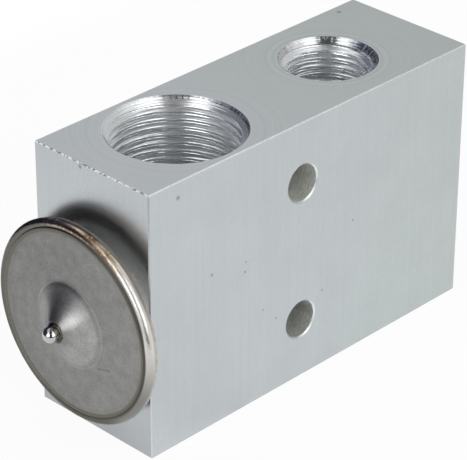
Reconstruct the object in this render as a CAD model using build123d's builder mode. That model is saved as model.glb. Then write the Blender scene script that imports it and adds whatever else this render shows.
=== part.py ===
from build123d import *

import os
from math import sqrt

# Block-type expansion valve, in millimetres.
# The valve axis runs along X: the power head is at the low end and the adjusting
# screw at the high end. The four ports open up and down along Z, and the bracket
# bolts pass through along Y. The origin is on the bottom face, under the bolt line.

# Block
block_length = 78.7
block_width = 27.2
block_height = 50.8
edge_break = 0.2
axis_height = 23.15
bolt_from_head_end = 36.4
bolt_spacing = 27.2
bolt_hole_radius = 3.5
bolt_hole_chamfer = 0.25

# Ports: each thread radius is that of the thread's root
suction_from_head_end = 19.45
suction_thread_radius = 12.0
suction_thread_depth = 14.0
suction_bore_radius = 10.0
suction_chamfer = 0.53
liquid_from_far_end = 21.7
liquid_thread_radius = 8.0
liquid_thread_depth = 12.0
liquid_chamfer = 1.03
liquid_bore_radius = 4.2
liquid_bore_overlap = 1.65
feed_from_far_end = 28.2
feed_bore_radius = 4.6
feed_bore_past_axis = 2.65

# Bores along the valve axis
gland_length = 3.55
orifice_radius = 2.0
orifice_length = 1.9
seat_cone_depth = 0.9
chamber_radius = 6.3
adjuster_thread_radius = 7.0
adjuster_thread_length = 7.3
adjuster_mouth_chamfer = 0.5

# Clearances: radial ones first, then gaps between faces that meet
thread_clearance = 0.05
running_clearance = 0.05
push_rod_clearance = 0.1
nose_clearance = 0.1
seal_clearance = 0.03
contact_gap = 0.02
seat_gap = 0.04
stop_gap = 0.05

# Power head housing
hub_radius = 12.2
hub_standoff = 2.5
neck_radius = 9.95
neck_length = 6.5
neck_bore_radius = 6.6
neck_chamfer = 0.5
neck_end_space = 0.5
flange_radius = 18.3
flange_thickness = 1.2
flange_rim_width = 2.8
flange_slope = 0.15
flange_edge_chamfer = 0.2
pad_pocket_radius = 9.7
clamp_width = 2.7
dish_depth = 0.45

# Power head diaphragm and cover
diaphragm_edge_space = 0.1
diaphragm_thickness = 0.15
diaphragm_bend_inset = 0.3
plateau_radius = 9.4
plateau_rise = 0.35
cover_edge_inset = 1.3
cover_thickness = 1.0
cover_dish_rise = 0.65
cone_base_radius = 7.8
cone_height = 3.35
cone_waist_height = 1.5
cone_waist_radius = 4.5
cone_tip_radius = 1.95

# Rim weld, fill ball and its weld
rim_weld_height = 0.3
rim_weld_slope = 0.4
rim_weld_stand = 0.1
rim_weld_groove = 0.3
rim_weld_back = 0.45
charge_ball_radius = 1.35
charge_ball_stand = 1.2
ball_weld_width = 1.2
ball_weld_height = 0.75

# Seals, by the width of their section, which is pressed square in its groove
head_seal_section = 1.3
head_pocket_depth = 1.35
rod_seal_section = 1.8
adjuster_seal_section = 1.3
seal_corner = 0.4

# Stem: pad, sensing rod, push rod, ball and carrier, which move together
stem_travel = 0.8
pad_radius = 9.1
pad_thickness = 1.7
pad_chamfer = 0.3
pad_boss_radius = 5.6
pad_boss_length = 3.65
rod_radius = 3.2
rod_socket_depth = 2.0
rod_end_space = 0.4
rod_chamfer = 0.4
push_rod_radius = 1.2
push_rod_grip = 3.0
valve_ball_radius = 3.0
carrier_grip = 0.9
carrier_cup_floor_radius = 1.2
carrier_nose_radius = 3.6
carrier_nose_length = 2.0
carrier_flange_thickness = 1.4
carrier_flange_margin = 0.2
carrier_pilot_length = 1.6
pilot_clearance = 0.15

# Damping spring, a slotted cone of leaves round the carrier
damper_thickness = 0.3
damper_ring_radius = 4.6
damper_reach = 1.5
damper_wall_gap = 0.1
damper_leaf_count = 8
damper_slot_width = 1.3

# Washer and toothed retainer that hold the rod seal in its gland
seal_washer_thickness = 0.8
retainer_thickness = 0.4
retainer_rim_width = 0.7
retainer_tooth_rise = 0.3
retainer_tooth_gap = 0.2
retainer_slot_count = 6
retainer_slot_width = 0.8

# Superheat spring
spring_mean_radius = 3.6
spring_wire = 1.0
wire_sides = 8
spring_length = 9.0
spring_turns = 3.5

# Adjusting screw
screw_recess = 1.2
screw_thread_length = 4.9
screw_nose_length = 4.4
screw_chamfer = 0.4
screw_web = 1.0
spring_pocket_clearance = 0.2
socket_width = 6.0
seal_groove_width = 1.6
seal_groove_from_nose = 1.0

# Stations along the valve axis, from the block's head end to its far end
head_face = -bolt_from_head_end
end_face = head_face + block_length
suction_x = head_face + suction_from_head_end
liquid_x = end_face - liquid_from_far_end
feed_x = end_face - feed_from_far_end
neck_end = head_face + neck_length
gland_floor = suction_x + suction_bore_radius + gland_length
# The guide takes the half of the wall next to the gland
guide_end = (gland_floor + feed_x - feed_bore_radius) / 2
seat_x = feed_x + feed_bore_radius + orifice_length
chamber_start = seat_x + seat_cone_depth
adjuster_thread_start = end_face - adjuster_thread_length

# Stations of the power head, outward from the block
flange_back = head_face - hub_standoff
clamp_face = flange_back - flange_thickness
cover_seat = clamp_face - diaphragm_thickness
cover_front = cover_seat - cover_thickness
cone_base = cover_front - cover_dish_rise
cone_tip = cone_base - cone_height
charge_ball_x = cone_tip - charge_ball_stand

# Stations of the stem at rest
pad_top = clamp_face - plateau_rise
pad_under = pad_top + pad_thickness
pad_floor = pad_under + stem_travel + stop_gap
pad_boss_end = pad_under + pad_boss_length
rod_start = pad_boss_end - rod_socket_depth
rod_end = guide_end - stem_travel - rod_end_space
# The ball rests in a 45 degree cone that opens from the orifice
ball_x = seat_x - orifice_radius + sqrt(2) * (valve_ball_radius + seat_gap)
carrier_front = ball_x + carrier_grip
carrier_flange_front = carrier_front + carrier_nose_length
carrier_flange_back = carrier_flange_front + carrier_flange_thickness
spring_seat = carrier_flange_back + spring_length

# Stations of the adjusting screw at rest
screw_outer = end_face - screw_recess
screw_shoulder = screw_outer - screw_thread_length
screw_nose = screw_shoulder - screw_nose_length
socket_floor = spring_seat + screw_web
seal_groove_start = screw_nose + seal_groove_from_nose
seal_groove_end = seal_groove_start + seal_groove_width

# Radii at the power head's rim, which follow its flange
flange_flat_radius = flange_radius - flange_rim_width
cover_radius = flange_radius - cover_edge_inset
clamp_inner_radius = cover_radius - clamp_width
diaphragm_radius = cover_radius - diaphragm_edge_space
rim_weld_radius = flange_radius + rim_weld_height

# Sizes that follow from the pieces that fit inside
head_pocket_radius = neck_radius + head_seal_section + 2 * seal_clearance
gland_radius = rod_radius + rod_seal_section + 2 * seal_clearance
rod_bore_radius = rod_radius + running_clearance
push_rod_bore_radius = push_rod_radius + push_rod_clearance
spring_outer_radius = spring_mean_radius + spring_wire / 2
spring_inner_radius = spring_mean_radius - spring_wire / 2
spring_pocket_radius = spring_outer_radius + spring_pocket_clearance
carrier_flange_radius = spring_outer_radius + carrier_flange_margin
screw_nose_radius = chamber_radius - nose_clearance
screw_thread_radius = adjuster_thread_radius - thread_clearance
seal_groove_radius = chamber_radius - adjuster_seal_section - 2 * seal_clearance
liquid_bore_floor = axis_height + chamber_radius - liquid_bore_overlap
charge_ball_seat = charge_ball_radius + contact_gap
fill_hole_radius = sqrt(charge_ball_seat**2 - charge_ball_stand**2)

# Turned pieces are drawn on the upright plane through the valve axis, with local x
# along that axis and local y as the radius.
turning_plane = Plane(origin=(0, 0, axis_height), x_dir=(1, 0, 0), z_dir=(0, -1, 0))
valve_axis = Axis(origin=(0, 0, axis_height), direction=(1, 0, 0))

os.makedirs("parts", exist_ok=True)


# Aluminium block with its ports, passages and bolt holes
with BuildPart() as valve_block:
    with Locations((head_face + block_length / 2, 0, block_height / 2)):
        Box(block_length, block_width, block_height)
    chamfer(valve_block.edges(), length=edge_break)
    side_face = Plane(
        origin=(0, -block_width / 2, block_height / 2),
        x_dir=(1, 0, 0),
        z_dir=(0, -1, 0),
    )
    with Locations(side_face):
        with GridLocations(0, bolt_spacing, 1, 2):
            Hole(bolt_hole_radius)
    bolt_rims = valve_block.edges().filter_by(GeomType.CIRCLE)
    chamfer(bolt_rims, length=bolt_hole_chamfer)
    with Locations((suction_x, 0, block_height)):
        CounterBoreHole(
            suction_bore_radius, suction_thread_radius, suction_thread_depth
        )
    with Locations(Plane(origin=(suction_x, 0, 0), z_dir=(0, 0, -1))):
        CounterBoreHole(
            suction_bore_radius, suction_thread_radius, suction_thread_depth
        )
    with Locations((liquid_x, 0, block_height)):
        CounterBoreHole(
            liquid_bore_radius,
            liquid_thread_radius,
            liquid_thread_depth,
            block_height - liquid_bore_floor,
        )
    with Locations(Plane(origin=(feed_x, 0, 0), z_dir=(0, 0, -1))):
        CounterBoreHole(
            feed_bore_radius,
            liquid_thread_radius,
            liquid_thread_depth,
            axis_height + feed_bore_past_axis,
        )
    port_faces = valve_block.faces().filter_by(Plane.XY).sort_by(Axis.Z)
    for port_face in (port_faces[0], port_faces[-1]):
        rims = port_face.edges().filter_by(GeomType.CIRCLE).sort_by(SortBy.RADIUS)
        chamfer(rims[0], length=liquid_chamfer)
        chamfer(rims[-1], length=suction_chamfer)
    # Bore for the power head, open to the suction passage
    with BuildSketch(turning_plane):
        with BuildLine():
            Polyline(
                (head_face, 0),
                (head_face, head_pocket_radius),
                (head_face + head_pocket_depth, head_pocket_radius),
                (head_face + head_pocket_depth, neck_radius + thread_clearance),
                (neck_end + neck_end_space, neck_radius + thread_clearance),
                (neck_end + neck_end_space, neck_bore_radius),
                (suction_x, neck_bore_radius),
                (suction_x, 0),
                close=True,
            )
        make_face()
    revolve(axis=valve_axis, mode=Mode.SUBTRACT)
    # Gland, rod guide, orifice, seat, ball chamber and adjuster thread
    with BuildSketch(turning_plane):
        with BuildLine():
            Polyline(
                (suction_x, 0),
                (suction_x, gland_radius),
                (gland_floor, gland_radius),
                (gland_floor, rod_bore_radius),
                (guide_end, rod_bore_radius),
                (guide_end, push_rod_bore_radius),
                (feed_x, push_rod_bore_radius),
                (feed_x, orifice_radius),
                (seat_x, orifice_radius),
                (chamber_start, orifice_radius + seat_cone_depth),
                (chamber_start, chamber_radius),
                (adjuster_thread_start, chamber_radius),
                (adjuster_thread_start, adjuster_thread_radius),
                (end_face - adjuster_mouth_chamfer, adjuster_thread_radius),
                (end_face, adjuster_thread_radius + adjuster_mouth_chamfer),
                (end_face, 0),
                close=True,
            )
        make_face()
    revolve(axis=valve_axis, mode=Mode.SUBTRACT)
valve_block.part.label = "valve_block"
export_step(valve_block.part, "parts/valve_block.step")


# Power head housing: a flange on a hub, with a threaded neck into the block
with BuildPart() as head_base:
    with BuildSketch(turning_plane):
        with BuildLine():
            Polyline(
                (neck_end, neck_bore_radius),
                (neck_end, neck_radius - neck_chamfer),
                (neck_end - neck_chamfer, neck_radius),
                (head_face, neck_radius),
                (head_face, hub_radius),
                (flange_back, hub_radius),
                (flange_back, flange_flat_radius),
                (flange_back - flange_slope, flange_radius - flange_edge_chamfer),
                (flange_back - flange_slope - flange_edge_chamfer, flange_radius),
                (clamp_face, flange_radius),
                (clamp_face, clamp_inner_radius),
                (clamp_face + dish_depth, pad_pocket_radius),
                (pad_floor, pad_pocket_radius),
                (pad_floor, neck_bore_radius),
                close=True,
            )
        make_face()
    revolve(axis=valve_axis)
head_base.part.label = "head_base"
export_step(head_base.part, "parts/head_base.step")


# Diaphragm: a thin formed sheet, clamped at its edge and resting on the pad
with BuildPart() as diaphragm:
    with BuildSketch(turning_plane):
        with BuildLine():
            Polyline(
                (clamp_face, diaphragm_radius),
                (clamp_face, clamp_inner_radius - diaphragm_bend_inset),
                (pad_top, plateau_radius),
                (pad_top, 0),
            )
            offset(amount=diaphragm_thickness, side=Side.RIGHT, kind=Kind.INTERSECTION)
        make_face()
    revolve(axis=valve_axis)
diaphragm.part.label = "diaphragm"
export_step(diaphragm.part, "parts/diaphragm.step")


# Cover: a stamped sheet with a shallow dish and a cone in its middle
with BuildPart() as head_cover:
    with BuildSketch(turning_plane):
        with BuildLine():
            Polyline(
                (cover_front, cover_radius),
                (cover_front, clamp_inner_radius),
                (cone_base, cone_base_radius),
                (cone_base - cone_waist_height, cone_waist_radius),
                (cone_tip, cone_tip_radius),
                (cone_tip, fill_hole_radius),
            )
            offset(amount=cover_thickness, side=Side.LEFT, kind=Kind.INTERSECTION)
        make_face()
    revolve(axis=valve_axis)
head_cover.part.label = "head_cover"
export_step(head_cover.part, "parts/head_cover.step")


# Weld bead that joins cover, diaphragm and housing at the rim
with BuildPart() as rim_weld:
    with BuildSketch(turning_plane):
        with BuildLine():
            weld_front = cover_front - rim_weld_stand
            Polyline(
                (clamp_face, cover_radius),
                (cover_front + rim_weld_groove, cover_radius),
                (weld_front, cover_radius + rim_weld_slope),
                (weld_front, rim_weld_radius - rim_weld_slope),
                (weld_front + rim_weld_slope, rim_weld_radius),
                (cover_seat, rim_weld_radius),
                (clamp_face + rim_weld_back, flange_radius),
                (clamp_face, flange_radius),
                close=True,
            )
        make_face()
    revolve(axis=valve_axis)
rim_weld.part.label = "rim_weld"
export_step(rim_weld.part, "parts/rim_weld.step")


# Ball that closes the filling hole at the tip of the cone
with BuildPart() as charge_ball:
    with Locations((charge_ball_x, 0, axis_height)):
        Sphere(charge_ball_radius)
charge_ball.part.label = "charge_ball"
export_step(charge_ball.part, "parts/charge_ball.step")


# Weld collar round the filling ball, hollowed to the ball
with BuildPart() as ball_weld:
    with BuildSketch(turning_plane):
        with BuildLine():
            collar_foot = (cone_tip, fill_hole_radius)
            collar_lip_height = charge_ball_stand - ball_weld_height
            collar_lip = (
                cone_tip - ball_weld_height,
                sqrt(charge_ball_seat**2 - collar_lip_height**2),
            )
            RadiusArc(collar_foot, collar_lip, -charge_ball_seat)
            Polyline(collar_lip, (cone_tip, fill_hole_radius + ball_weld_width), collar_foot)
        make_face()
    revolve(axis=valve_axis)
ball_weld.part.label = "ball_weld"
export_step(ball_weld.part, "parts/ball_weld.step")


# Seal round the neck, in its pocket in the block's head end
with BuildPart() as head_seal:
    with BuildSketch(turning_plane):
        head_seal_middle = (
            head_face + head_pocket_depth - head_seal_section / 2 - contact_gap,
            neck_radius + seal_clearance + head_seal_section / 2,
        )
        with Locations(head_seal_middle):
            Rectangle(head_seal_section, head_seal_section)
        chamfer(vertices(), length=seal_corner)
    revolve(axis=valve_axis)
head_seal.part.label = "head_seal"
export_step(head_seal.part, "parts/head_seal.step")


# Pad under the diaphragm, with a boss that takes the sensing rod
with BuildPart() as diaphragm_pad:
    with BuildSketch(turning_plane):
        with BuildLine():
            Polyline(
                (pad_top, 0),
                (pad_top, pad_radius - pad_chamfer),
                (pad_top + pad_chamfer, pad_radius),
                (pad_under - pad_chamfer, pad_radius),
                (pad_under, pad_radius - pad_chamfer),
                (pad_under, pad_boss_radius),
                (pad_boss_end - pad_chamfer, pad_boss_radius),
                (pad_boss_end, pad_boss_radius - pad_chamfer),
                (pad_boss_end, rod_bore_radius),
                (rod_start, rod_bore_radius),
                (rod_start, 0),
                close=True,
            )
        make_face()
    revolve(axis=valve_axis)
diaphragm_pad.part.label = "diaphragm_pad"
export_step(diaphragm_pad.part, "parts/diaphragm_pad.step")


# Aluminium rod that crosses the suction passage and feels its temperature
with BuildPart() as sensing_rod:
    with BuildSketch(turning_plane):
        with BuildLine():
            Polyline(
                (rod_start, 0),
                (rod_start, rod_radius - rod_chamfer),
                (rod_start + rod_chamfer, rod_radius),
                (rod_end - rod_chamfer, rod_radius),
                (rod_end, rod_radius - rod_chamfer),
                (rod_end, push_rod_radius + contact_gap),
                (rod_end - push_rod_grip, push_rod_radius + contact_gap),
                (rod_end - push_rod_grip, 0),
                close=True,
            )
        make_face()
    revolve(axis=valve_axis)
sensing_rod.part.label = "sensing_rod"
export_step(sensing_rod.part, "parts/sensing_rod.step")


# Thin rod that passes through the orifice and pushes the ball off its seat
with BuildPart() as push_rod:
    push_rod_end = ball_x - valve_ball_radius - contact_gap
    with BuildSketch(turning_plane):
        with BuildLine():
            Polyline(
                (rod_end - push_rod_grip, 0),
                (rod_end - push_rod_grip, push_rod_radius),
                (push_rod_end, push_rod_radius),
                (push_rod_end, 0),
                close=True,
            )
        make_face()
    revolve(axis=valve_axis)
push_rod.part.label = "push_rod"
export_step(push_rod.part, "parts/push_rod.step")


# Seal round the sensing rod
with BuildPart() as rod_seal:
    rod_seal_x = gland_floor - rod_seal_section / 2 - contact_gap
    with BuildSketch(turning_plane):
        with Locations((rod_seal_x, rod_radius + seal_clearance + rod_seal_section / 2)):
            Rectangle(rod_seal_section, rod_seal_section)
        chamfer(vertices(), length=seal_corner)
    revolve(axis=valve_axis)
rod_seal.part.label = "rod_seal"
export_step(rod_seal.part, "parts/rod_seal.step")


# Plain washer that backs the rod seal
with BuildPart() as seal_washer:
    washer_back = rod_seal_x - rod_seal_section / 2 - contact_gap
    washer_front = washer_back - seal_washer_thickness
    with BuildSketch(turning_plane):
        with BuildLine():
            Polyline(
                (washer_front, rod_bore_radius),
                (washer_front, gland_radius - contact_gap),
                (washer_back, gland_radius - contact_gap),
                (washer_back, rod_bore_radius),
                close=True,
            )
        make_face()
    revolve(axis=valve_axis)
seal_washer.part.label = "seal_washer"
export_step(seal_washer.part, "parts/seal_washer.step")


# Toothed push-on retainer that bites in the gland and holds washer and seal
with BuildPart() as seal_retainer:
    retainer_front = washer_front - retainer_thickness
    retainer_radius = gland_radius - contact_gap
    tooth_radius = retainer_radius - retainer_rim_width
    with BuildSketch(turning_plane):
        with BuildLine():
            Polyline(
                (washer_front, retainer_radius),
                (retainer_front, retainer_radius),
                (retainer_front, tooth_radius),
                (retainer_front - retainer_tooth_rise, rod_radius + retainer_tooth_gap),
                (washer_front - retainer_tooth_rise, rod_radius + retainer_tooth_gap),
                (washer_front, tooth_radius),
                close=True,
            )
        make_face()
    revolve(axis=valve_axis)
    tooth_depth = tooth_radius - rod_radius
    with BuildSketch(
        Plane(
            origin=(retainer_front - retainer_tooth_rise, 0, axis_height),
            x_dir=(0, 1, 0),
            z_dir=(1, 0, 0),
        )
    ):
        with PolarLocations(rod_radius + tooth_depth / 2, retainer_slot_count):
            Rectangle(tooth_depth, retainer_slot_width)
    extrude(amount=retainer_thickness + retainer_tooth_rise, mode=Mode.SUBTRACT)
seal_retainer.part.label = "seal_retainer"
export_step(seal_retainer.part, "parts/seal_retainer.step")


# Valve ball
with BuildPart() as valve_ball:
    with Locations((ball_x, 0, axis_height)):
        Sphere(valve_ball_radius)
valve_ball.part.label = "valve_ball"
export_step(valve_ball.part, "parts/valve_ball.step")


# Carrier: a 45 degree cup for the ball, a flange for the spring and a pilot inside it
with BuildPart() as ball_carrier:
    cup_apex = ball_x + sqrt(2) * (valve_ball_radius + contact_gap)
    cup_floor = cup_apex - carrier_cup_floor_radius
    pilot_radius = spring_inner_radius - pilot_clearance
    pilot_end = carrier_flange_back + carrier_pilot_length
    with BuildSketch(turning_plane):
        with BuildLine():
            Polyline(
                (cup_floor, 0),
                (cup_floor, carrier_cup_floor_radius),
                (carrier_front, cup_apex - carrier_front),
                (carrier_front, carrier_nose_radius),
                (carrier_flange_front, carrier_nose_radius),
                (carrier_flange_front, carrier_flange_radius),
                (carrier_flange_back, carrier_flange_radius),
                (carrier_flange_back, pilot_radius),
                (pilot_end, pilot_radius),
                (pilot_end, 0),
                close=True,
            )
        make_face()
    revolve(axis=valve_axis)
ball_carrier.part.label = "ball_carrier"
export_step(ball_carrier.part, "parts/ball_carrier.step")


# Damping spring: leaves that spread from a ring on the carrier to the chamber wall
with BuildPart() as damping_spring:
    leaf_radius = chamber_radius - damper_wall_gap
    leaf_end = carrier_flange_front - damper_reach
    ring_front = carrier_flange_front - damper_thickness
    ring_inner = carrier_nose_radius + contact_gap
    with BuildSketch(turning_plane):
        with BuildLine():
            Polyline(
                (carrier_flange_front, ring_inner),
                (carrier_flange_front, damper_ring_radius),
                (leaf_end + damper_thickness, leaf_radius),
                (leaf_end, leaf_radius),
                (ring_front, damper_ring_radius - damper_thickness / 2),
                (ring_front, ring_inner),
                close=True,
            )
        make_face()
    revolve(axis=valve_axis)
    leaf_length = leaf_radius - damper_ring_radius
    with BuildSketch(
        Plane(origin=(leaf_end, 0, axis_height), x_dir=(0, 1, 0), z_dir=(1, 0, 0))
    ):
        with PolarLocations(damper_ring_radius + leaf_length, damper_leaf_count):
            Rectangle(2 * leaf_length, damper_slot_width)
    extrude(amount=damper_reach, mode=Mode.SUBTRACT)
damping_spring.part.label = "damping_spring"
export_step(damping_spring.part, "parts/damping_spring.step")


# Superheat spring: a coil with both ends ground flat
with BuildPart() as superheat_spring:
    with BuildLine():
        coil = Helix(
            pitch=spring_length / spring_turns,
            height=spring_length,
            radius=spring_mean_radius,
            center=(carrier_flange_back, 0, axis_height),
            direction=(1, 0, 0),
        )
    with BuildSketch(coil ^ 0):
        RegularPolygon(spring_wire / 2, wire_sides)
    sweep(path=coil, is_frenet=True)
    split(bisect_by=Plane.YZ.offset(carrier_flange_back), keep=Keep.TOP)
    split(bisect_by=Plane.YZ.offset(spring_seat), keep=Keep.BOTTOM)
superheat_spring.part.label = "superheat_spring"
export_step(superheat_spring.part, "parts/superheat_spring.step")


# Adjusting screw: a cup for the spring, a seal groove, a thread and a hex socket
with BuildPart() as adjusting_screw:
    with BuildSketch(turning_plane):
        with BuildLine():
            Polyline(
                (screw_nose, spring_pocket_radius),
                (screw_nose, screw_nose_radius - screw_chamfer),
                (screw_nose + screw_chamfer, screw_nose_radius),
                (seal_groove_start, screw_nose_radius),
                (seal_groove_start, seal_groove_radius),
                (seal_groove_end, seal_groove_radius),
                (seal_groove_end, screw_nose_radius),
                (screw_shoulder, screw_nose_radius),
                (screw_shoulder + screw_chamfer, screw_thread_radius),
                (screw_outer - screw_chamfer, screw_thread_radius),
                (screw_outer, screw_thread_radius - screw_chamfer),
                (screw_outer, 0),
                (spring_seat, 0),
                (spring_seat, spring_pocket_radius),
                close=True,
            )
        make_face()
    revolve(axis=valve_axis)
    with BuildSketch(
        Plane(origin=(socket_floor, 0, axis_height), x_dir=(0, 1, 0), z_dir=(1, 0, 0))
    ):
        RegularPolygon(socket_width / 2, side_count=6, major_radius=False)
    extrude(amount=screw_outer - socket_floor, mode=Mode.SUBTRACT)
adjusting_screw.part.label = "adjusting_screw"
export_step(adjusting_screw.part, "parts/adjusting_screw.step")


# Seal in the adjusting screw's groove
with BuildPart() as adjuster_seal:
    with BuildSketch(turning_plane):
        adjuster_seal_middle = (
            (seal_groove_start + seal_groove_end) / 2,
            seal_groove_radius + seal_clearance + adjuster_seal_section / 2,
        )
        with Locations(adjuster_seal_middle):
            Rectangle(adjuster_seal_section, adjuster_seal_section)
        chamfer(vertices(), length=seal_corner)
    revolve(axis=valve_axis)
adjuster_seal.part.label = "adjuster_seal"
export_step(adjuster_seal.part, "parts/adjuster_seal.step")
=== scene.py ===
import math

import bpy
from mathutils import Matrix, Vector, noise


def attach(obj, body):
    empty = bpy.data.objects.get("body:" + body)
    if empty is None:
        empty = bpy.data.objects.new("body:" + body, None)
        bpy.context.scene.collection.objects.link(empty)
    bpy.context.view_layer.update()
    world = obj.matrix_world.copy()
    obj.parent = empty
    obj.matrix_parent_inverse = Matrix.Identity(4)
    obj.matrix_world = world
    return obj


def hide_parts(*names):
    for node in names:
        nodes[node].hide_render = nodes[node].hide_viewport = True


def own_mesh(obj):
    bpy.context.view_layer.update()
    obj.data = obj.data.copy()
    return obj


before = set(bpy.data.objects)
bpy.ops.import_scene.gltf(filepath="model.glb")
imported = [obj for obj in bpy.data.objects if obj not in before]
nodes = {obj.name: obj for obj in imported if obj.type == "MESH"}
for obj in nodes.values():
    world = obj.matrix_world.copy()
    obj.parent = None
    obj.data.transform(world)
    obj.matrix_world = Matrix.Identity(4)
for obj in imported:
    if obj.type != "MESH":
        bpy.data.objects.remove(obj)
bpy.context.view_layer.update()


# Camera
# A long lens, above and to the left of the valve. It shows the top, the head end and the
# side where the bolts go in.
MM = 0.001
camera_place = Vector((-285.923, -275.669, 251.562)) * MM
camera_right = Vector((0.6993577, -0.7147619, 0.0037825))
camera_up = Vector((0.3526214, 0.3496153, 0.8680019))
camera_forward = Vector((0.6217371, 0.6057100, -0.4965465))
lens_mm = 200.34

camera = bpy.data.objects.new("camera", bpy.data.cameras.new("camera"))
bpy.context.scene.collection.objects.link(camera)
camera.data.lens = lens_mm
camera.data.sensor_width = 36.0
camera.data.clip_start = 0.01
camera_turn = Matrix((camera_right, camera_up, -camera_forward)).transposed()
camera.matrix_world = Matrix.Translation(camera_place) @ camera_turn.to_4x4()
bpy.context.scene.camera = camera
bpy.context.scene.view_settings.view_transform = "Standard"


# Studio
# A sheet of white paper in a pale room, dark beyond its edges and behind the camera. Tall
# softboxes stand to the camera's left and right, and two more hang overhead, with a dark gap
# between them. The camera sees all of the room as white.
class Shade:
    """A value or colour in a shader; arithmetic on a value adds Math nodes."""

    def __init__(self, tree, socket=None):
        self.tree = tree
        self.socket = socket

    def node(self, kind, settings=None, inputs=None, output=0):
        """Adds a node: its settings first, then the values or links of its sockets."""
        made = self.tree.nodes.new("ShaderNode" + kind)
        for name, value in (settings or {}).items():
            setattr(made, name, value)
        for name, value in (inputs or {}).items():
            if isinstance(value, Shade):
                self.tree.links.new(value.socket, made.inputs[name])
            else:
                made.inputs[name].default_value = value
        return Shade(self.tree, made.outputs[output])

    def math(self, operation, *values):
        return self.node("Math", {"operation": operation}, dict(enumerate(values)))

    def vector(self, operation, *values, output=0):
        return self.node(
            "VectorMath", {"operation": operation}, dict(enumerate(values)), output
        )

    def __add__(self, other):
        return self.math("ADD", self, other)

    def __radd__(self, other):
        return self.math("ADD", other, self)

    def __sub__(self, other):
        return self.math("SUBTRACT", self, other)

    def __rsub__(self, other):
        return self.math("SUBTRACT", other, self)

    def __mul__(self, other):
        return self.math("MULTIPLY", self, other)

    def __rmul__(self, other):
        return self.math("MULTIPLY", other, self)

    def __abs__(self):
        return self.math("ABSOLUTE", self)

    def most(self, *others):
        """The largest of this and the other values."""
        largest = self
        for other in others:
            largest = self.math("MAXIMUM", largest, other)
        return largest

    def between(self, low, high):
        """0 up to low, 1 from high, with a smooth rise between them."""
        return self.node(
            "MapRange",
            {"interpolation_type": "SMOOTHSTEP"},
            {"Value": self, "From Min": low, "From Max": high},
        )

    def grain(self, scale, detail=2.0, stretch=(1.0, 1.0, 1.0)):
        """Noise from 0 to 1 at this place, finer along an axis with more stretch."""
        place = self.vector("MULTIPLY", self, stretch)
        return self.node(
            "TexNoise", None, {"Vector": place, "Scale": scale, "Detail": detail}
        )

    def mix(self, first, second):
        """The first colour where this mask is 0, the second where it is 1."""
        return self.node(
            "Mix",
            {"data_type": "RGBA"},
            {"Factor": self, 6: colour4(first), 7: colour4(second)},
            output=2,
        )

    def axes(self):
        return [self.node("SeparateXYZ", None, {0: self}, output=i) for i in range(3)]

    def brighter(self, amount):
        """This colour times an amount that may vary."""
        return self.node("VectorMath", {"operation": "SCALE"}, {0: self, "Scale": amount})


def colour4(value):
    if isinstance(value, Shade) or len(value) == 4:
        return value
    return (*value, 1.0)


world = bpy.data.worlds.new("studio")
world.use_nodes = True
bpy.context.scene.world = world
sky_shader = world.node_tree.nodes["Background"]
looking = Shade(world.node_tree).node("TexCoord")

# Each direction by how far it points to the camera's right, toward the camera, and up
right_share = looking.vector("DOT_PRODUCT", looking, (0.699, -0.715, 0.0), output=1)
near_share = looking.vector("DOT_PRODUCT", looking, (-0.715, -0.699, 0.0), output=1)
height_share = looking.vector("DOT_PRODUCT", looking, (0.0, 0.0, 1.0), output=1)
bearing = looking.math("ARCTAN2", right_share, near_share) * (180 / math.pi)
height = looking.math("ARCSINE", height_share) * (180 / math.pi)


def window(value, low, high, blur):
    """1 between low and high, and 0 beyond them."""
    return value.between(low - blur, low + blur) * (1 - value.between(high - blur, high + blur))


room = 0.86
aside = abs(right_share)
left_box = window(bearing, -52, -13, 3) * window(height, 0, 50, 3)
left_box = left_box * (2.7 - 2.1 * height.between(22, 45))
right_box = window(bearing, 22, 70, 3) * window(height, 0, 50, 3)
right_box = right_box * (1.5 - 1.0 * height.between(30, 50))
top_boxes = window(aside, 0.30, 0.62, 0.015) * window(near_share, 0.12, 0.60, 0.04)
top_boxes = top_boxes * height_share.between(0.60, 0.70)
ceiling = height_share.between(0.86, 0.95)
behind_camera = window(bearing, -13, 22, 3) * window(height, -12, 62, 4)
gap_half = 0.17 + 0.12 * near_share.between(0.1, 0.4)
gap_depth = 0.45 + 0.55 * near_share.between(0.15, 0.4)
gap_depth = gap_depth.most(1 - aside.between(0.05, 0.09))
dark_gap = (1 - (aside - gap_half).between(-0.015, 0.015)) * near_share.between(-0.35, -0.2)
dark_gap = dark_gap * gap_depth
dark_left = window(bearing, -156, -62, 5) * (1 - height.between(42, 56))
dark_back = (1 - near_share.between(-0.3, 0.0)) * (1 - right_share.between(0.1, 0.3))
dark_back = dark_back * (1 - height.between(10, 20))
right_wall = window(bearing, 104, 165, 7) * height.between(-4, 6)
darkness = dark_left.most(dark_back, dark_gap, 0.6 * behind_camera, 0.45 * right_wall)
light = room * (1 - 0.4 * ceiling) * (1 - 0.92 * darkness)
light = light + left_box + right_box + 0.5 * top_boxes
seen = looking.node("LightPath")
light = light * (1 - seen) + seen
sky_colour = (dark_left * (1 - seen)).mix((1.0, 1.0, 1.0), (0.62, 0.64, 1.0))
world.node_tree.links.new(sky_colour.socket, sky_shader.inputs["Color"])
world.node_tree.links.new(light.socket, sky_shader.inputs["Strength"])

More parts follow.
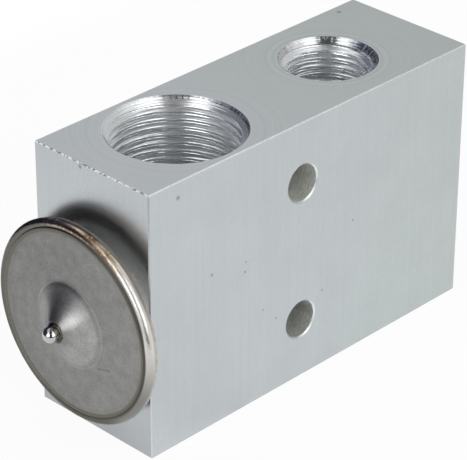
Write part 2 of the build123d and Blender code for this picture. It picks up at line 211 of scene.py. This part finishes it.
bpy.ops.mesh.primitive_plane_add(size=6.0, location=(0, 0, -0.0001))
floor = bpy.context.object
floor.name = "floor"
paper = bpy.data.materials.new("paper")
paper.use_nodes = True
floor.data.materials.append(paper)
paper_tree = paper.node_tree
paper_shader = paper_tree.nodes["Principled BSDF"]
paper_shader.inputs["Roughness"].default_value = 0.9
paper_shader.inputs["Specular IOR Level"].default_value = 0.0
paper_path = Shade(paper_tree).node("LightPath")
glossy_ray = Shade(paper_tree, paper_path.socket.node.outputs["Is Glossy Ray"])
on_paper = paper_path.node("TexCoord", output=3)
past_edge = on_paper.axes()[1].between(0.095, 0.135)
nearer = on_paper.vector("DOT_PRODUCT", on_paper, (-0.715, -0.699, 0.0), output=1)
past_edge = past_edge.most(nearer.between(0.138, 0.145))
paper_colour = past_edge.mix((0.92, 0.92, 0.92), (0.04, 0.04, 0.05))
paper_tree.links.new(paper_colour.socket, paper_shader.inputs["Base Color"])
glow_colour = glossy_ray.mix((1.0, 1.0, 1.0), (1.45, 1.45, 1.45))
white_glow = paper_path.node("Emission", None, {"Color": glow_colour, "Strength": 1.0})
watched = paper_path * (0.94 + 0.06 * past_edge) + glossy_ray * 0.45 * (1 - past_edge)
paper_mix = paper_path.node("MixShader", None, {0: watched})
paper_tree.links.new(paper_shader.outputs[0], paper_mix.socket.node.inputs[1])
paper_tree.links.new(white_glow.socket, paper_mix.socket.node.inputs[2])
paper_output = paper_tree.nodes["Material Output"]
paper_tree.links.new(paper_mix.socket, paper_output.inputs["Surface"])


# Valve block
# Sawn and milled from aluminium bar, with its edges lightly broken. The ports are bored,
# chamfered and tapped, and the faces round them show the cutter's turns.
axis_height = 23.15
suction_x = -16.95
liquid_x = 20.6
feed_x = 14.1
block_head_end = -36.4
block_far_end = 42.3
block_side = 13.6
block_top = 50.8
bolt_line_z = 25.4
bolt_offset = 13.6


def metal(name, metallic=1.0):
    """A metal's material, its shader, and the place on the object in millimetres."""
    made = bpy.data.materials.new(name)
    made.use_nodes = True
    shader = made.node_tree.nodes["Principled BSDF"]
    shader.inputs["Metallic"].default_value = metallic
    start = Shade(made.node_tree).node("TexCoord", output=3)
    place = start.vector("MULTIPLY", start, (1000.0, 1000.0, 1000.0))
    return made, shader, place


def feed(shader, name, value):
    value.tree.links.new(value.socket, shader.inputs[name])


def bumps(shader, height, distance, strength=1.0):
    """Raises the surface by a height of 0 to 1 times a distance in metres."""
    bump = height.node(
        "Bump", None, {"Strength": strength, "Distance": distance, "Height": height}
    )
    feed(shader, "Normal", bump)


def cutter_grooves(place):
    """Uneven fine grooves that run round an upright bore."""
    along = place.axes()[2] + 0.25 * place.grain(0.35, 1.0)
    return place.node(
        "TexNoise", {"noise_dimensions": "1D"}, {"W": along, "Scale": 3.6, "Detail": 2.0}
    )


def wear_metal(node_object, material):
    """Gives a CAD node its metal, with its rounded faces shaded smooth."""
    mesh = node_object.data
    mesh.materials.clear()
    mesh.materials.append(material)
    for face in mesh.polygons:
        face.use_smooth = True
    weld = node_object.modifiers.new("weld", "WELD")
    weld.merge_threshold = 2e-6
    split = node_object.modifiers.new("split", "EDGE_SPLIT")
    split.split_angle = math.radians(24)
    split.use_edge_sharp = False


def span(x, y):
    """Distance from the axis where x and y are both 0."""
    return x.math("SQRT", x * x + y * y)


aluminium, block_shader, place = metal("milled_aluminium")
x, y, z = place.axes()
facing = place.node("NewGeometry", output=1)
facing_x, facing_y, facing_z = facing.axes()
upward = abs(facing_z).between(0.93, 0.97)
sideways = abs(facing_y).between(0.93, 0.97)
endways = abs(facing_x).between(0.93, 0.97)
flat = upward + sideways + endways

from_suction = span(x - suction_x, y)
from_liquid = span(x - liquid_x, y)
from_feed = span(x - feed_x, y)
in_upper_half = z.between(25.0, 26.0)
in_suction = 1 - from_suction.between(12.62, 12.66)
in_liquid = (1 - from_liquid.between(9.12, 9.16)) * in_upper_half
in_feed = (1 - from_feed.between(9.12, 9.16)) * (1 - in_upper_half)
in_port = place.math("MINIMUM", in_suction + in_liquid + in_feed, 1.0)
from_bolt = span(x, abs(z - bolt_line_z) - bolt_offset)
in_bolt_hole = 1 - from_bolt.between(3.55, 3.6)
on_head_end = 1 - x.between(block_head_end + 0.02, block_head_end + 0.06)
on_far_end = x.between(block_far_end - 0.06, block_far_end - 0.02)
on_sides = abs(y).between(block_side - 0.05, block_side - 0.01)
on_top = z.between(block_top - 0.06, block_top - 0.02)
on_base = 1 - z.between(0.02, 0.06)
outside = flat * on_top.most(on_base, on_sides, on_head_end, on_far_end)

cloud = place.grain(0.11, 3.0)
fine = place.grain(2.6, 3.0)
upright_lines = place.grain(1.6, 2.0, (1.0, 1.0, 0.02))
suction_turns = place.node(
    "TexNoise", {"noise_dimensions": "1D"}, {"W": from_suction, "Scale": 1.5, "Detail": 4.0}
)
liquid_turns = place.node(
    "TexNoise", {"noise_dimensions": "1D"}, {"W": from_liquid, "Scale": 1.5, "Detail": 4.0}
)
suction_zone = 1 - from_suction.between(12.5, 21.5)
liquid_zone = 1 - from_liquid.between(9.5, 20.5)
turns = (suction_turns - 0.5) * suction_zone + (liquid_turns - 0.5) * liquid_zone
turns = turns * upward

# Small dark pits in the side, top and head end: centre and radius in millimetres
pits = (
    (-29.78, -block_side, 47.89, 0.42),
    (-22.00, -block_side, 30.16, 0.30),
    (-14.09, -block_side, 27.40, 0.26),
    (-13.87, -block_side, 29.27, 0.20),
    (-9.57, -block_side, 17.90, 0.20),
    (-6.28, -block_side, 14.84, 0.22),
    (5.45, -block_side, 15.48, 0.24),
    (13.14, -block_side, 26.53, 0.24),
    (36.23, 11.56, block_top, 0.45),
    (block_head_end, 2.41, 50.1, 0.40),
)
pitted = 0.0
for pit_x, pit_y, pit_z, pit_radius in pits:
    away = place.vector("DISTANCE", place, (pit_x, pit_y, pit_z), output=1)
    pitted = pitted + (1 - away.between(0.3 * pit_radius, 1.5 * pit_radius))

skin_colour = x.between(-36, 30).mix((0.526, 0.556, 0.574), (0.516, 0.555, 0.557))
worn_and_glint_colour = (0.84, 0.86, 0.87)
cut_colour = (0.78, 0.80, 0.81)
drilled_colour = (0.74, 0.75, 0.715)
skin_shade = 1.0 + 0.16 * (cloud - 0.5) + 0.12 * (fine - 0.5) + 0.34 * turns
# Painted light: the top is painted lighter, and the block darker towards its far end.
skin_shade = skin_shade + 0.07 * upward - 0.0009 * (x + 10)
# Painted shade: the head end is painted darker, most of all towards the bottom.
skin_shade = skin_shade - endways * (0.04 + 0.18 * (1 - z.between(-2, 16)))
skin_shade = skin_shade + 0.08 * (upright_lines - 0.5) * (1 - upward)
skin_shade = skin_shade * (1 - 0.45 * pitted)
near_edge = z.between(50.5, 50.58).most(abs(y).between(13.38, 13.42))
broken_edge = (1 - flat) * (1 - in_port) * near_edge
glints = place.grain(1.9, 2.0).between(0.40, 0.52)
top_edge = broken_edge * z.between(50.5, 50.58)
# Edge wear and painted highlight: the broken top edges are painted brighter.
worn_and_sheen = top_edge * (0.75 + 0.25 * glints) + broken_edge * (1 - z.between(20, 50)) * 0.2
colour = worn_and_sheen.mix(skin_colour, worn_and_glint_colour)
# Painted glints: bright dashes along the head end's top edge, matt white so they stay bright
# whatever they reflect.
burr_glint = top_edge * glints * (1 - x.between(-36.2, -36.1))
colour = burr_glint.mix(colour, (0.97, 0.97, 0.97))
colour = ((1 - outside) * in_port).mix(colour, cut_colour)
colour = ((1 - outside) * in_bolt_hole).mix(colour, drilled_colour)
drill_marks = place.grain(1.3, 3.0, (1.0, 2.5, 1.0))
# Painted light: the upper bolt hole is painted lighter inside than the lower one.
upper_hole_light = 0.16 * z.between(25, 26)
skin_shade = skin_shade + in_bolt_hole * (1 - outside) * (0.9 * (drill_marks - 0.55) + upper_hole_light)
# Painted highlight: a bright crescent on one side of each bolt hole's rim.
hole_rim_glint = window(from_bolt, 3.55, 3.72, 0.02) * (1 - outside)
colour = (hole_rim_glint * x.between(-1.0, 2.5)).mix(colour, worn_and_glint_colour)
feed(block_shader, "Base Color", colour.brighter(skin_shade))
skin_rough = 0.40 + 0.10 * (cloud - 0.5) - 0.12 * endways + 0.05 * turns
feed(block_shader, "Roughness", skin_rough - in_port * (1 - outside) * 0.24)
scattering = burr_glint.most(0.38 * in_bolt_hole * (1 - outside))
feed(block_shader, "Metallic", 1 - scattering)
marks = 0.5 + 0.4 * turns + 0.06 * (upright_lines - 0.5) * (1 - upward) + 0.04 * (fine - 0.5)
marks = marks - 0.4 * pitted + 1.2 * in_port * (1 - outside) * cutter_grooves(place)
bumps(block_shader, marks, 0.00003)
wear_metal(nodes["valve_block"], aluminium)


# Port threads
# Fine right-hand threads, tapped down to the floor of each port. Each is one ridge that
# winds up the port's wall and is cut away by the chamfer at its mouth.
def wind(name, section, pitch, height, steps_a_turn):
    """Winds a closed section of (radius, height) points up Z, with both ends filled."""
    turns_up = height / pitch
    corners = len(section)
    mesh = bpy.data.meshes.new(name)
    edges = [(i, (i + 1) % corners) for i in range(corners)]
    mesh.from_pydata([(r, 0, h) for r, h in section], edges, [])
    wound = bpy.data.objects.new(name, mesh)
    bpy.context.scene.collection.objects.link(wound)
    screw = wound.modifiers.new("screw", "SCREW")
    screw.axis = "Z"
    screw.angle = 2 * math.pi * turns_up
    screw.screw_offset = height
    screw.steps = screw.render_steps = round(steps_a_turn * turns_up)
    screw.use_smooth_shade = True
    bpy.ops.object.select_all(action="DESELECT")
    bpy.context.view_layer.objects.active = wound
    wound.select_set(True)
    bpy.ops.object.modifier_apply(modifier="screw")
    bpy.ops.object.mode_set(mode="EDIT")
    bpy.ops.mesh.select_all(action="DESELECT")
    bpy.ops.mesh.select_non_manifold()
    bpy.ops.mesh.fill_holes(sides=corners)
    bpy.ops.mesh.select_all(action="SELECT")
    bpy.ops.mesh.normals_make_consistent(inside=False)
    bpy.ops.object.mode_set(mode="OBJECT")
    return wound


def wind_thread(name, root, crest, pitch, depth, chamfer, mouth):
    """One internal thread ridge up a port whose mouth is at mouth = (x, y, z, turn)."""
    flank = (root - crest) * math.tan(math.radians(30))
    crest_half = pitch / 8
    section = [
        (root + 0.02, crest_half + flank + 0.17),
        (root - 0.01, crest_half + flank + 0.09),
        (root - 0.05, crest_half + flank + 0.03),
        (root - 0.12, crest_half + flank - 0.03),
        (crest + 0.07, crest_half + 0.04),
        (crest + 0.03, crest_half + 0.01),
        (crest + 0.007, crest_half - 0.03),
        (crest, crest_half - 0.08),
        (crest, -crest_half),
        (root + 0.03, -crest_half - flank),
    ]
    ridge = wind(name, section, pitch, depth + pitch / 2, 72)
    mesh = ridge.data
    for point in mesh.vertices:
        sunk = max(depth - point.co.z, 0.06)
        radius = math.hypot(point.co.x, point.co.y)
        wanted = max(radius, root + chamfer - sunk)
        point.co.x *= wanted / radius
        point.co.y *= wanted / radius
        point.co.z = depth - sunk
    mouth_x, mouth_y, mouth_z, turn = mouth
    mesh.transform(Matrix.Rotation(math.pi, 4, "Z"))
    mesh.transform(Matrix.Translation((0, 0, -depth)))
    mesh.transform(Matrix.Rotation(turn, 4, "X"))
    mesh.transform(Matrix.Translation((mouth_x, mouth_y, mouth_z)))
    mesh.transform(Matrix.Scale(MM, 4))
    bpy.ops.object.shade_smooth_by_angle(angle=math.radians(35))
    return ridge


thread_metal, thread_shader, place = metal("tapped_aluminium", 0.82)
cut_streaks = place.grain(1.2, 2.0, (1.0, 1.0, 2.0))
colour = cut_streaks.mix((0.87, 0.89, 0.91), (0.93, 0.95, 0.96))
feed(thread_shader, "Base Color", colour)
feed(thread_shader, "Roughness", 0.16 + 0.10 * cut_streaks)
bumps(thread_shader, cutter_grooves(place), 0.00008)

# Radius at the root and at the crest, pitch, depth, and width of the mouth's chamfer
suction_thread = (12.0, 11.19, 1.5, 14.0, 0.53)
liquid_thread = (8.0, 7.19, 1.5, 12.0, 1.03)
ports = (
    ("suction_outlet_thread", suction_thread, (suction_x, 0, block_top, 0.0)),
    ("suction_inlet_thread", suction_thread, (suction_x, 0, 0.0, math.pi)),
    ("liquid_inlet_thread", liquid_thread, (liquid_x, 0, block_top, 0.0)),
    ("evaporator_feed_thread", liquid_thread, (feed_x, 0, 0.0, math.pi)),
)
for name, (root, crest, pitch, depth, chamfer), mouth in ports:
    ridge = wind_thread(name, root, crest, pitch, depth, chamfer, mouth)
    ridge.data.materials.append(thread_metal)
    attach(ridge, "block")


# Power head cover
# A stamped stainless disc, matt from its heat treatment, that rises through a shallow
# dish to a bell-shaped cone. Its edge is fused to the housing.
cover_front = -41.25
cone_base = -41.9
cone_tip = -45.25


def turn_round(name, outline, steps=192, smooth_angle=30):
    """Spins a closed outline of (x, radius) points round the valve axis."""
    mesh = bpy.data.meshes.new(name)
    count = len(outline)
    mesh.from_pydata(
        [(px, 0, radius) for px, radius in outline],
        [(i, (i + 1) % count) for i in range(count)],
        [],
    )
    made = bpy.data.objects.new(name, mesh)
    bpy.context.scene.collection.objects.link(made)
    bpy.ops.object.select_all(action="DESELECT")
    bpy.context.view_layer.objects.active = made
    made.select_set(True)
    bpy.ops.object.mode_set(mode="EDIT")
    bpy.ops.mesh.select_all(action="SELECT")
    bpy.ops.mesh.spin(
        steps=steps, angle=2 * math.pi, center=(0, 0, 0), axis=(1, 0, 0), use_auto_merge=False
    )
    bpy.ops.mesh.select_all(action="SELECT")
    bpy.ops.mesh.remove_doubles(threshold=0.0005)
    bpy.ops.mesh.normals_make_consistent(inside=False)
    bpy.ops.object.mode_set(mode="OBJECT")
    mesh.transform(Matrix.Translation((0, 0, axis_height)))
    mesh.transform(Matrix.Scale(MM, 4))
    bpy.ops.object.shade_smooth_by_angle(angle=math.radians(smooth_angle))
    return made


def bow(first, middle, last, count):
    """Points on a smooth curve that leaves first and reaches last by way of middle."""
    points = []
    for i in range(count + 1):
        t = i / count
        points.append(
            tuple(
                (1 - t) ** 2 * a + 2 * t * (1 - t) * b + t**2 * c
                for a, b, c in zip(first, middle, last)
            )
        )
    return points


face_line = [(cover_front + 0.9, 16.72), (cover_front + 0.12, 16.72)]
face_line += bow((cover_front + 0.12, 16.72), (cover_front, 16.72), (cover_front, 16.5), 4)[1:]
face_line += bow((cover_front, 14.9), (cover_front, 14.3), (cover_front - 0.06, 13.6), 6)
face_line += [(cover_front - 0.2, 12.2), (cover_front - 0.36, 10.5), (cover_front - 0.52, 9.0)]
face_line += bow((cone_base + 0.05, 8.3), (cone_base - 0.02, 7.85), (cone_base - 0.18, 7.5), 6)
face_line += bow((cone_base - 0.18, 7.5), (-43.2, 4.6), (cone_tip + 0.3, 2.35), 18)[1:]
face_line += bow((cone_tip + 0.3, 2.35), (cone_tip, 1.95), (cone_tip, 1.7), 6)[1:]
face_line += [(cone_tip, 0.7)]
back_line = [(cone_tip + 0.9, 0.7), (-42.3, 4.4)]
back_line += [(cover_front + 0.4, 8.6), (cover_front + 0.9, 14.3)]
cover = turn_round("cover_sheet", face_line + back_line, 224)

cover_metal, cover_shader, place = metal("matt_stainless")
x, y, z = place.axes()
from_axis = span(y, z - axis_height)
mottle = place.grain(0.55, 3.0)
speckle = place.grain(3.4, 3.0)
cover_turns = place.node(
    "TexNoise", {"noise_dimensions": "1D"}, {"W": from_axis, "Scale": 3.2, "Detail": 3.0}
)
cover_shade = 1.0 + 0.55 * (mottle - 0.5) + 0.70 * (speckle - 0.5)
# Painted light: the disc is painted lighter towards its -Y side.
cover_shade = cover_shade + 0.20 * (cover_turns - 0.5) - 0.006 * y
scratched = window(y, -9.2, -6.6, 0.5) * window(z + 0.2 * (y + 7), 17.4, 17.75, 0.1)
# Painted highlight: a pale ring round the foot of the cone, brighter on its upper side.
crease_highlight = 1 - abs(from_axis - 7.8).between(0.0, 0.3)
rim_band = from_axis.between(15.4, 16.7)
cover_colour = rim_band.mix((0.232, 0.231, 0.225), (0.215, 0.205, 0.180))
# Painted light: the cone is painted lighter than the dish round it.
cover_colour = (1 - from_axis.between(6.6, 7.6)).mix(cover_colour, (0.33, 0.33, 0.325))
cover_shade = cover_shade * (0.72 + 0.28 * from_axis.between(1.9, 4.2))
crease_highlight = crease_highlight * (0.25 + 0.35 * z.between(24, 30))
cover_colour = crease_highlight.mix(cover_colour, (0.38, 0.38, 0.38))
feed(cover_shader, "Base Color", cover_colour.brighter(cover_shade * (1 - 0.35 * scratched)))
on_cone = 1 - from_axis.between(6.8, 7.8)
feed(cover_shader, "Roughness", 0.33 + 0.05 * on_cone + 0.12 * (speckle - 0.5))
bumps(cover_shader, 0.55 * cover_turns + 0.45 * speckle, 0.00002, 0.6)
cover.data.materials.append(cover_metal)
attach(cover, "block")
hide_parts("head_cover")


# Rim weld
# The cover, diaphragm and housing are fused together round their edge. The bead is
# rounded and bright, with a small lip inside it, and straw and brown where it ran hot.
bead_x, bead_from_axis, bead_radius = -40.45, 17.74, 0.86
lip_x, lip_from_axis, lip_radius = -41.06, 17.0, 0.26

# From under the cover's edge, over the lip and the bead, and down to the flange
bead_line = [(-40.6, 16.45), (cover_front - 0.01, 16.45), (cover_front - 0.02, 16.62)]
for degrees in range(155, 111, -14):
    turn = math.radians(degrees)
    along = lip_radius * math.cos(turn)
    bead_line.append((lip_x + along, lip_from_axis + lip_radius * math.sin(turn)))
for degrees in range(206, 23, -8):
    turn = math.radians(degrees)
    along = bead_radius * (1.0 if degrees > 90 else 1.1) * math.cos(turn)
    bead_line.append((bead_x + along, bead_from_axis + bead_radius * math.sin(turn)))
bead_line.append((-39.8, 17.4))

bead = turn_round("rim_bead", bead_line, 360, 50)
for point in bead.data.vertices:
    from_middle = Vector((point.co.x, point.co.y, point.co.z - axis_height * MM)) / MM
    radius = math.hypot(from_middle.y, from_middle.z)
    if radius < 17.6:
        continue
    angle = math.atan2(from_middle.z, from_middle.y)
    outward = Vector((0, from_middle.y, from_middle.z)) / radius
    hot = math.exp(-(((angle - math.radians(118)) / math.radians(17)) ** 2))
    ripple = noise.noise(Vector((angle * 26, from_middle.x * 0.8, radius * 0.5)))
    lump = noise.noise(Vector((angle * 9 + 7, from_middle.x * 1.3, radius * 0.9)))
    lift = (0.012 + 0.05 * hot) * ripple + (0.02 + 0.05 * hot) * lump - 0.04
    point.co += outward * lift * MM

bead_metal, bead_shader, place = metal("fused_rim")
x, y, z = place.axes()
from_axis = span(y, z - axis_height)
round_angle = place.math("ARCTAN2", z - axis_height, y)
degrees_round = round_angle * (180 / math.pi)
stain = place.grain(0.75, 3.0)
scorch = place.grain(1.9, 3.0)
hot_zone = window(degrees_round, 80, 126, 12)
straw = place.math("MINIMUM", hot_zone * 0.85 + stain.between(0.52, 0.74) * 0.3, 1.0)
bead_colour = straw.mix((0.66, 0.65, 0.62), (0.66, 0.56, 0.40))
burnt_middle = window(degrees_round, 99, 108, 3) * scorch.between(0.30, 0.50)
burnt_right = window(degrees_round, 114, 118, 1.5) * scorch.between(0.40, 0.55)
burnt_left = window(degrees_round, 62, 84, 6) * scorch.between(0.38, 0.60)
edges = 1 - window(x, -41.0, -40.0, 0.22)
burnt_edges = hot_zone * edges * scorch.between(0.30, 0.50)
burnt = burnt_middle.most(burnt_right, burnt_left, burnt_edges)
bead_colour = (burnt * 0.84).mix(bead_colour, (0.21, 0.095, 0.055))
# Painted shade: the lower half of the bead is painted darker.
bead_colour = (0.9 * (1 - z.between(14, 28))).mix(bead_colour, (0.175, 0.171, 0.160))
# Soot and painted shade: the bead's left side and bottom are painted dark, except where it ran
# hot.
soot_and_shade_side = y.between(-3, 5).most(1 - z.between(6.5, 10.0))
soot_and_shade_side = soot_and_shade_side * (1 - window(degrees_round, 72, 140, 8))
bead_colour = (soot_and_shade_side * 0.92).mix(bead_colour, (0.090, 0.087, 0.074))
broad_streak = window(degrees_round, 103, 166, 8)
lip_band = 1 - (from_axis - 0.22 * broad_streak).between(17.4, 17.8)
bead_colour = lip_band.mix(bead_colour, (0.145, 0.141, 0.122))
soot_and_shade = soot_and_shade_side.most(lip_band)
seam = 1 - abs(from_axis - 17.05).between(0.0, 0.22)
seam = seam * (0.15 + 0.65 * (1 - y.between(-8, 2)))
bead_colour = seam.mix(bead_colour, (0.05, 0.047, 0.038))
feed(bead_shader, "Base Color", bead_colour)
bead_rough = 0.15 + 0.14 * scorch + 0.10 * soot_and_shade + 0.14 * broad_streak
feed(bead_shader, "Roughness", bead_rough)
bumps(bead_shader, place.grain(2.2, 2.0), 0.00004, 0.5)
bead.data.materials.append(bead_metal)
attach(bead, "block")
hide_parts("rim_weld")


# Power head housing
# Turned from stainless bar. A dark ring is painted round the back of its flange: partly the
# heat tint of the rim weld, partly painted shade in the narrow gap against the block.
housing_metal, housing_shader, place = metal("turned_stainless", 0.1)
x, y, z = place.axes()
from_axis = span(y, z - axis_height)
turning = place.node(
    "TexNoise", {"noise_dimensions": "1D"}, {"W": from_axis + x, "Scale": 5.0, "Detail": 2.0}
)
on_edge = from_axis.between(18.2, 18.28)
# Heat tint and painted shade: a dark ring round the back of the flange.
browned_and_shaded = window(from_axis, 15.5, 18.2, 0.25) * (1 - x.between(-38.6, -38.2))
smoke = place.grain(0.35, 2.0)
spots = place.grain(1.1, 3.0).between(0.45, 0.65)
housing_colour = (0.3 * smoke).mix((0.96, 0.94, 0.90), (0.84, 0.75, 0.68))
browned_and_shaded_colour = smoke.between(0.35, 0.65).mix((0.018, 0.012, 0.010), (0.060, 0.026, 0.020))
housing_colour = browned_and_shaded.mix(housing_colour, browned_and_shaded_colour)
edge_colour = (0.6 * spots).mix((0.52, 0.51, 0.47), (0.40, 0.33, 0.24))
# Painted shade: the upper part of the flange's edge is painted dark.
edge_colour = (0.85 * z.between(27, 35)).mix(edge_colour, (0.15, 0.125, 0.105))
housing_colour = on_edge.mix(housing_colour, edge_colour)
feed(housing_shader, "Base Color", housing_colour.brighter(0.92 + 0.16 * turning))
feed(housing_shader, "Roughness", 0.24 + 0.12 * turning + 0.1 * browned_and_shaded)
bumps(housing_shader, turning, 0.00001, 0.5)
wear_metal(nodes["head_base"], housing_metal)


# Filling ball and its weld
# A hard steel ball pressed on the filling hole and fused round its foot, which leaves a
# dark collar with a trace of straw.
ball_x = -46.1
ball_radius = 1.46
bpy.ops.object.select_all(action="DESELECT")
bpy.ops.mesh.primitive_uv_sphere_add(segments=72, ring_count=36, radius=ball_radius * MM)
ball = bpy.context.object
ball.name = "filling_ball"
bpy.ops.object.shade_smooth()
ball.data.transform(Matrix.Rotation(math.pi / 2, 4, "Y"))
ball.data.transform(Matrix.Translation(Vector((ball_x, 0, axis_height)) * MM))
ball_metal, ball_shader, place = metal("polished_ball")
scuff = place.grain(1.4, 3.0)
feed(ball_shader, "Base Color", scuff.mix((0.40, 0.40, 0.41), (0.56, 0.56, 0.56)))
feed(ball_shader, "Roughness", 0.05 + 0.10 * scuff)
bumps(ball_shader, place.grain(5.0, 2.0), 0.000005, 0.4)
ball.data.materials.append(ball_metal)
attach(ball, "block")
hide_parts("charge_ball")

collar_outline = [(cone_tip + 0.1, 0.75), (cone_tip + 0.1, 1.9)]
collar_shoulder = (cone_tip - 0.62, 1.5)
collar_outline += bow((cone_tip - 0.02, 1.92), (cone_tip - 0.18, 1.5), collar_shoulder, 8)
collar_outline += bow(collar_shoulder, (cone_tip - 0.78, 1.5), (cone_tip - 0.8, 1.22), 5)[1:]
collar = turn_round("filling_ball_collar", collar_outline, 96, 40)
for point in collar.data.vertices:
    from_middle = Vector((point.co.x, point.co.y, point.co.z - axis_height * MM)) / MM
    point.co.x += 0.06 * noise.noise(from_middle * 2.3) * MM
    widen = 1 + 0.05 * noise.noise(from_middle * 1.7 + Vector((3, 1, 2)))
    point.co.y *= widen
    point.co.z = axis_height * MM + (point.co.z - axis_height * MM) * widen
collar_metal, collar_shader, place = metal("fused_collar")
from_axis = span(place.axes()[1], place.axes()[2] - axis_height)
gold_lines = window(from_axis, 1.42, 1.50, 0.04) + window(from_axis, 1.77, 1.84, 0.04)
collar_stain = gold_lines * place.grain(1.5, 3.0).between(0.46, 0.62)
feed(collar_shader, "Base Color", collar_stain.mix((0.070, 0.068, 0.058), (0.42, 0.34, 0.18)))
feed(collar_shader, "Roughness", 0.24 + 0.14 * collar_stain)
bumps(collar_shader, place.grain(4.0, 2.0), 0.00005, 0.7)
collar.data.materials.append(collar_metal)
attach(collar, "block")
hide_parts("ball_weld")


# Hidden valve train and seals
# Turned brass and steel, drawn rod, spring wire and sheet, and black rubber rings, all
# inside the block or behind its openings.
def grained_metal(name, dark, light, rough, stretch):
    made, shader, place = metal(name)
    grain = place.grain(1.8, 3.0, stretch)
    feed(shader, "Base Color", grain.mix(dark, light))
    feed(shader, "Roughness", rough + 0.14 * (grain - 0.5))
    bumps(shader, place.grain(6.0, 2.0, stretch), 0.00001, 0.5)
    return made


brass = grained_metal(
    "turned_brass", (0.48, 0.35, 0.15), (0.72, 0.56, 0.28), 0.30, (4.0, 1.0, 1.0)
)
spring_steel = grained_metal(
    "spring_steel", (0.28, 0.28, 0.29), (0.46, 0.46, 0.47), 0.32, (1.0, 1.0, 1.0)
)
bright_steel = grained_metal(
    "bright_steel", (0.50, 0.50, 0.49), (0.68, 0.68, 0.67), 0.22, (3.0, 1.0, 1.0)
)
drawn_rod = grained_metal(
    "drawn_aluminium", (0.56, 0.58, 0.60), (0.74, 0.75, 0.77), 0.30, (0.1, 2.0, 2.0)
)

rubber, rubber_shader, place = metal("black_rubber", 0.0)
bloom = place.grain(1.1, 3.0)
feed(rubber_shader, "Base Color", bloom.mix((0.012, 0.012, 0.013), (0.035, 0.035, 0.037)))
feed(rubber_shader, "Roughness", 0.55 + 0.2 * bloom)
bumps(rubber_shader, place.grain(5.0, 2.0), 0.00002, 0.5)

finishes = {
    "diaphragm": spring_steel,
    "diaphragm_pad": brass,
    "sensing_rod": drawn_rod,
    "push_rod": bright_steel,
    "seal_washer": bright_steel,
    "seal_retainer": spring_steel,
    "valve_ball": bright_steel,
    "ball_carrier": brass,
    "damping_spring": spring_steel,
    "adjusting_screw": brass,
    "head_seal": rubber,
    "rod_seal": rubber,
    "adjuster_seal": rubber,
}
for node_name, finish in finishes.items():
    wear_metal(nodes[node_name], finish)


# Superheat spring
# Round spring steel wire wound in a coil, with both ends ground flat. It stands between
# the ball's carrier and the adjusting screw.
coil_start = 27.2
coil_end = 36.2
coil_turns = 3.5
coil_radius = 3.6
wire_radius = 0.5

coil_length = coil_end - coil_start
wire_section = []
for i in range(24):
    turn = 2 * math.pi * i / 24
    across = wire_radius * math.cos(turn)
    wire_section.append((coil_radius + across, wire_radius * math.sin(turn)))
coil = wind("superheat_coil", wire_section, coil_length / coil_turns, coil_length, 48)
bpy.ops.object.mode_set(mode="EDIT")
for plane, side in ((0.0, {"clear_inner": True}), (coil_length, {"clear_outer": True})):
    bpy.ops.mesh.select_all(action="SELECT")
    bpy.ops.mesh.bisect(plane_co=(0, 0, plane), plane_no=(0, 0, 1), use_fill=True, **side)
bpy.ops.mesh.select_all(action="SELECT")
bpy.ops.mesh.normals_make_consistent(inside=False)
bpy.ops.object.mode_set(mode="OBJECT")
coil.data.transform(Matrix.Rotation(math.pi / 2, 4, "Y"))
coil.data.transform(Matrix.Translation((coil_start, 0, axis_height)))
coil.data.transform(Matrix.Scale(MM, 4))
bpy.ops.object.shade_smooth_by_angle(angle=math.radians(40))
coil.data.materials.append(spring_steel)
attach(coil, "adjuster_ring")
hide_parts("superheat_spring")
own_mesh(coil)
